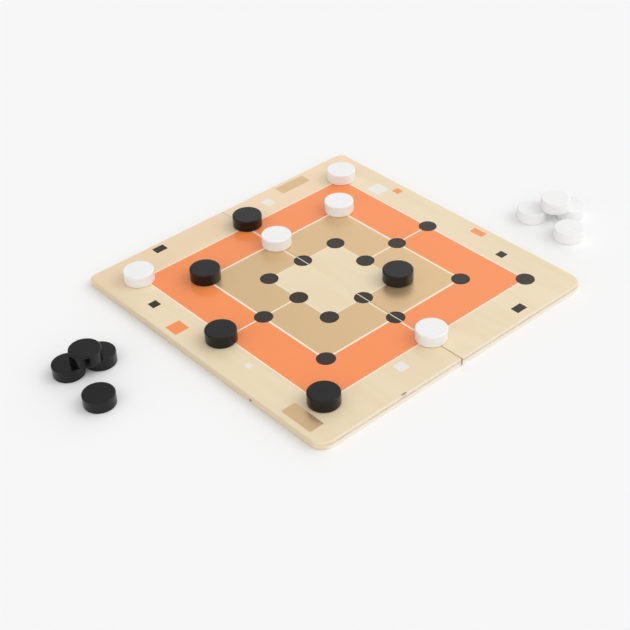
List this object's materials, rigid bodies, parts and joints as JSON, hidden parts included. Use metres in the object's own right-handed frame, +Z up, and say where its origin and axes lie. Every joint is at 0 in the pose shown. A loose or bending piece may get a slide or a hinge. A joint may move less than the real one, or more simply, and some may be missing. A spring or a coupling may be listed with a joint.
{
  "type": "solitaire and mill board",
  "caption": "Square plywood game board in two leaves, printed for mill on top and solitaire beneath, with black and white painted wooden discs standing on it and piled beside it.",
  "frame": {"origin": "centre of the board's underside, on the seam between the two leaves", "axes": "+X along the seam to the board's right end, +Y square to it towards the rear leaf, +Z up out of the mill side"},
  "size_m": [0.284, 0.4568, 0.02],
  "materials": {
    "plywood": "pale sanded birch-like plywood, satin clear finish",
    "orange_ink": "matt screen-printed ink",
    "tan_ink": "matt screen-printed ink",
    "white_ink": "matt screen-printed ink",
    "dark_ink": "matt screen-printed ink",
    "black_paint": "turned wood under satin black paint",
    "white_paint": "turned wood under satin white paint"
  },
  "bodies": {
    "root": {"front_leaf": "plywood", "rear_leaf": "plywood", "front_orange_print": "orange_ink", "front_tan_print": "tan_ink", "front_white_print": "white_ink", "front_dark_print": "dark_ink", "rear_orange_print": "orange_ink", "rear_tan_print": "tan_ink", "rear_white_print": "white_ink", "rear_dark_print": "dark_ink", "front_solitaire_print": "dark_ink", "rear_solitaire_print": "dark_ink", "black_disc_1": "black_paint", "black_disc_2": "black_paint", "black_disc_3": "black_paint", "black_disc_4": "black_paint", "black_disc_5": "black_paint", "black_disc_6": "black_paint", "black_disc_7": "black_paint", "black_disc_8": "black_paint", "black_disc_9": "black_paint", "white_disc_1": "white_paint", "white_disc_2": "white_paint", "white_disc_3": "white_paint", "white_disc_4": "white_paint", "white_disc_5": "white_paint", "white_disc_6": "white_paint", "white_disc_7": "white_paint", "white_disc_8": "white_paint", "white_disc_9": "white_paint"}
  },
  "joints": []
}
